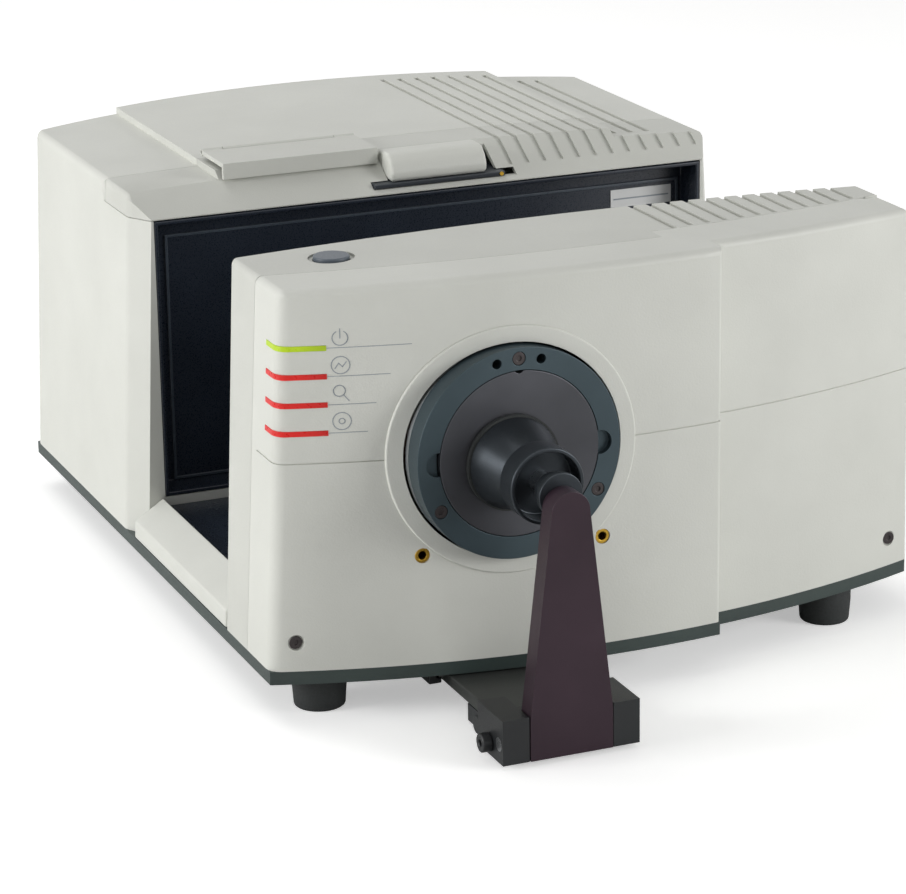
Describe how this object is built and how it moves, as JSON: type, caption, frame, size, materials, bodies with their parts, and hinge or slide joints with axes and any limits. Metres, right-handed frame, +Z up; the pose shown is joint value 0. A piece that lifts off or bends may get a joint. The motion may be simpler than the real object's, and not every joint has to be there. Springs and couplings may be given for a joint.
{
  "type": "benchtop sphere spectrophotometer",
  "caption": "Bench colour measuring instrument with bowed case, open sample compartment, front viewing port and a spring sample clamp on a sliding carriage.",
  "frame": {"origin": "middle of the bounding box, on the bench plane under the feet", "axes": "+X to the right seen from the port side, +Y from the sample clamp to the rear panel, +Z up"},
  "size_m": [0.42, 0.638, 0.2611],
  "materials": {
    "light_cover": "fine moulded texture, warm light grey",
    "mid_cover": "fine moulded texture, warm grey",
    "base_dark": "dark green-grey satin paint",
    "foot_rubber": "matt black rubber",
    "liner_black": "matt black paint",
    "frame_edge": "dark satin edge",
    "label_pale": "plain pale film",
    "ring_slate": "slate anodised",
    "plate_metal": "dark turned aluminium",
    "screw_dark": "dark oxide",
    "screw_steel": "bright zinc plate",
    "cast_alloy": "machined alloy",
    "sphere_white": "diffuse white coating",
    "lamp_black": "matt black",
    "lamp_glass": "clear quartz",
    "light_red": "lit clear plastic",
    "board_green": "green circuit board",
    "brass": "turned brass",
    "button_grey": "satin slate grey",
    "switch_black": "black plastic",
    "pin_steel": "ground steel",
    "slide_dark": "dark grey satin",
    "lens_glass": "coated lens",
    "clamp_black": "satin black",
    "arm_plum": "dark plum anodised",
    "cup_dark": "dark anodised",
    "carriage_grey": "satin dark grey"
  },
  "bodies": {
    "root": {"base_tray": "base_dark", "rubber_feet": "foot_rubber", "foot_screws": "screw_steel", "front_cover": "light_cover", "block_cover": "mid_cover", "rear_cover": "light_cover", "top_trim": "mid_cover", "sill_left": "light_cover", "sill_right": "light_cover", "compartment_pan": "liner_black", "compartment_floor": "liner_black", "compartment_front_wall": "liner_black", "frame_line": "frame_edge", "label_plate": "label_pale", "port_ring": "ring_slate", "ring_screws": "screw_dark", "port_plate": "plate_metal", "port_mount": "cast_alloy", "sphere_front": "sphere_white", "sphere_rear": "sphere_white", "sphere_stand": "cast_alloy", "lamp_housing": "lamp_black", "flash_lamp": "lamp_glass", "light_bars": "light_red", "light_board": "board_green", "cover_screws": "screw_dark", "cover_brackets": "cast_alloy", "brass_inserts": "brass", "button_switch": "switch_black", "lid_pin": "pin_steel", "lens_barrel": "lamp_black", "lens": "lens_glass", "optics_box": "lamp_black", "optics_lid": "lamp_black", "grating": "lens_glass", "detector_board": "board_green", "optics_stand": "cast_alloy", "power_supply": "cast_alloy", "main_board": "board_green", "board_posts": "brass", "rear_panel": "base_dark", "power_inlet": "switch_black", "data_ports": "switch_black", "fan_frame": "switch_black", "clamp_rails": "clamp_black"},
    "carriage": {"clamp_carriage": "carriage_grey", "clamp_yoke": "clamp_black", "clamp_screws": "clamp_black", "pivot_pin": "pin_steel"},
    "arm": {"clamp_arm": "arm_plum", "plunger_guide": "cup_dark"},
    "plunger": {"plunger_shaft": "pin_steel", "sample_cup": "cup_dark", "sample_pad": "foot_rubber"},
    "lid": {"top_lid": "mid_cover"},
    "slide": {"filter_slide": "slide_dark", "slide_handle": "light_cover"},
    "button": {"macro_button": "button_grey"},
    "rocker": {"power_switch": "switch_black"},
    "rotor": {"fan_rotor": "switch_black"}
  },
  "joints": [
    {"name": "carriage_slide", "type": "slide", "parent": "root", "child": "carriage", "axis": [0, -1, 0], "range_m": [0, 0.045]},
    {"name": "arm_swing", "type": "hinge", "parent": "carriage", "child": "arm", "pos_m": [-0.077, -0.3125, 0.014], "axis": [1, 0, 0], "range_deg": [0, 75]},
    {"name": "plunger_press", "type": "slide", "parent": "arm", "child": "plunger", "axis": [0, -1, 0], "range_m": [0, 0.006], "stiffness_N_per_m": 1200, "springref_m": -0.003},
    {"name": "lid_hinge", "type": "hinge", "parent": "root", "child": "lid", "pos_m": [-0.083, 0.1214, 0.2587], "axis": [-1, 0, 0], "range_deg": [0, 80]},
    {"name": "filter_slide_move", "type": "slide", "parent": "root", "child": "slide", "axis": [1, 0, 0], "range_m": [0, 0.008]},
    {"name": "button_press", "type": "slide", "parent": "root", "child": "button", "axis": [0, 0, -1], "range_m": [0, 0.0015], "stiffness_N_per_m": 400, "springref_m": -0.0015},
    {"name": "power_rock", "type": "hinge", "parent": "root", "child": "rocker", "pos_m": [0.048, 0.259, 0.079], "axis": [1, 0, 0], "range_deg": [-8, 8]},
    {"name": "fan_spin", "type": "hinge", "parent": "root", "child": "rotor", "pos_m": [0.14, 0.251, 0.08], "axis": [0, 1, 0], "continuous": true}
  ]
}
